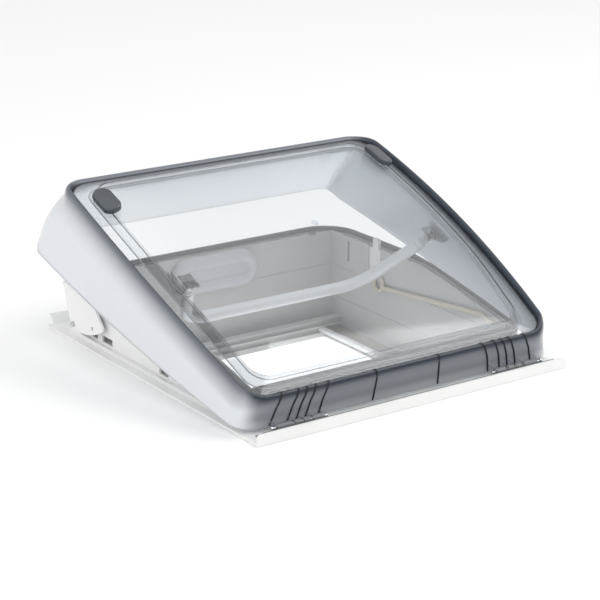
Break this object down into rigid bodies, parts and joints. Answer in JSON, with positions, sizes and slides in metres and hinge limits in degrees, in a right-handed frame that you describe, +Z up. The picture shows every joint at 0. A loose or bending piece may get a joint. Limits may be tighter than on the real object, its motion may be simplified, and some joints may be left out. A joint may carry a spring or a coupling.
{
  "type": "hinged roof vent",
  "caption": "Square hinged roof vent with a clear double dome, a white frame and curb, an opening bar, a sliding blind and a fly screen.",
  "frame": {"origin": "middle of the roof screw pattern, on the underside of the roof flange", "axes": "+Z up and out of the roof, +X along the hinge, +Y from the hinge to the opening edge"},
  "size_m": [0.5048, 0.5406, 0.2862],
  "materials": {
    "white_plastic": "satin white ABS",
    "clear_acrylic": "clear moulded acrylic",
    "black_rubber": "black rubber",
    "dark_plastic": "dark plastic",
    "smoked_plastic": "dark smoked plastic",
    "grey_plastic": "light grey plastic",
    "beige_plastic": "beige plastic",
    "screw_steel": "zinc-plated steel",
    "clamp_steel": "galvanised steel",
    "grey_aluminium": "satin anodised tube",
    "blind_fabric": "pleated brown blackout fabric",
    "screen_fabric": "pleated fly-screen mesh"
  },
  "bodies": {
    "root": {"outer_frame": "white_plastic", "curb_seal": "black_rubber", "upper_liner": "white_plastic", "middle_liner": "white_plastic", "interior_frame": "white_plastic", "rear_catch": "grey_plastic", "side_catch_left": "white_plastic", "side_catch_right": "white_plastic", "side_track_left": "beige_plastic", "side_track_right": "beige_plastic", "side_shield_left": "white_plastic", "side_shield_right": "white_plastic", "shield_screws": "screw_steel", "hinge_rail": "dark_plastic", "guide_rail_front": "white_plastic", "guide_rail_rear": "white_plastic", "blind_pleats": "blind_fabric", "screen_pleats": "screen_fabric", "roof_clamps": "clamp_steel", "clamp_screws": "screw_steel", "liner_screws": "screw_steel"},
    "dome": {"outer_dome": "clear_acrylic", "inner_dome": "clear_acrylic", "hinge_leaf_left": "beige_plastic", "hinge_leaf_right": "beige_plastic", "hinge_pin_left": "screw_steel", "hinge_pin_right": "screw_steel", "front_stiffeners": "beige_plastic", "latch_pad_left": "smoked_plastic", "latch_pad_right": "smoked_plastic", "bar_bracket_left": "clear_acrylic", "bar_bracket_right": "clear_acrylic", "pivot_screws": "screw_steel", "breather_plugs": "dark_plastic"},
    "bar": {"opening_bar": "grey_aluminium", "bar_end_left": "grey_plastic", "bar_end_right": "grey_plastic"},
    "blind_bar": {"blind_pull_bar": "white_plastic"},
    "screen_bar": {"screen_pull_bar": "white_plastic"}
  },
  "joints": [
    {"name": "dome_hinge", "type": "hinge", "parent": "root", "child": "dome", "pos_m": [0, -0.244, 0.01], "axis": [1, 0, 0], "range_deg": [-12, 38]},
    {"name": "bar_swing", "type": "hinge", "parent": "dome", "child": "bar", "pos_m": [0, -0.03627, 0.12838], "axis": [1, 0, 0], "range_deg": [-15, 45]},
    {"name": "blind_slide", "type": "slide", "parent": "root", "child": "blind_bar", "axis": [1, 0, 0], "range_m": [-0.3, 0]},
    {"name": "screen_slide", "type": "slide", "parent": "root", "child": "screen_bar", "axis": [1, 0, 0], "range_m": [0, 0.3]}
  ]
}
